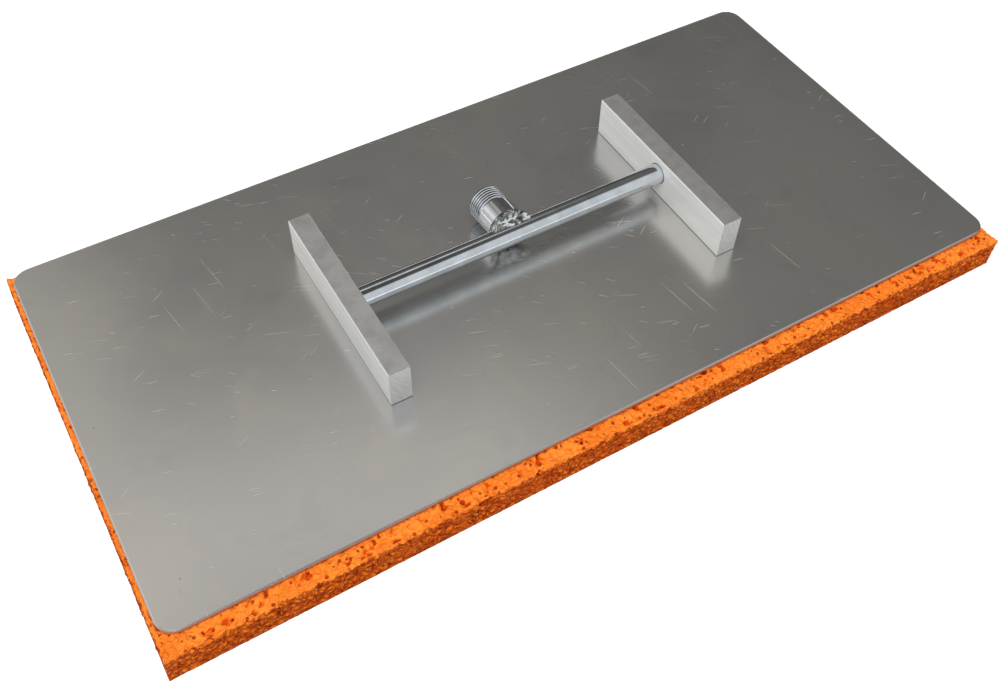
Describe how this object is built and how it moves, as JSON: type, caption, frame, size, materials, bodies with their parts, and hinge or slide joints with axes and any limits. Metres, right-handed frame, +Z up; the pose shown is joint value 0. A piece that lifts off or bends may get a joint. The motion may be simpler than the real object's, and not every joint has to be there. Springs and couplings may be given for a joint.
{
  "type": "sponge float with swivelling pole connector",
  "caption": "Long sponge pad glued under a metal plate, with bars carrying a rod and a swinging threaded connector for a pole.",
  "frame": {"origin": "middle of the sponge's working face, which the tool rests on", "axes": "+Z up, out of the plate's upper side; +X along the sponge's long side and along the rod; +Y across, towards the side over which the connector lies at rest"},
  "size_m": [0.5, 0.252, 0.0473],
  "materials": {
    "sponge": "open-cell foam, matt",
    "glue": "dried contact adhesive",
    "plate": "mill finish, finely scratched",
    "bar": "extruded, sawn ends",
    "screw": "zinc plated",
    "rod": "bright zinc plated, drawn",
    "nipple": "bright zinc plated",
    "weld": "zinc plated weld"
  },
  "bodies": {
    "float": {"sponge_pad": "sponge", "glue_film": "glue", "base_plate": "plate", "left_bar": "bar", "right_bar": "bar", "left_screw_near": "screw", "left_screw_far": "screw", "right_screw_near": "screw", "right_screw_far": "screw"},
    "swivel": {"pivot_rod": "rod", "pole_nipple": "nipple", "weld_bead": "weld"}
  },
  "joints": [
    {"name": "pole_swivel", "type": "hinge", "parent": "float", "child": "swivel", "pos_m": [0.0026, 0.00285, 0.0366], "axis": [1, 0, 0], "range_deg": [0, 190.6]}
  ]
}
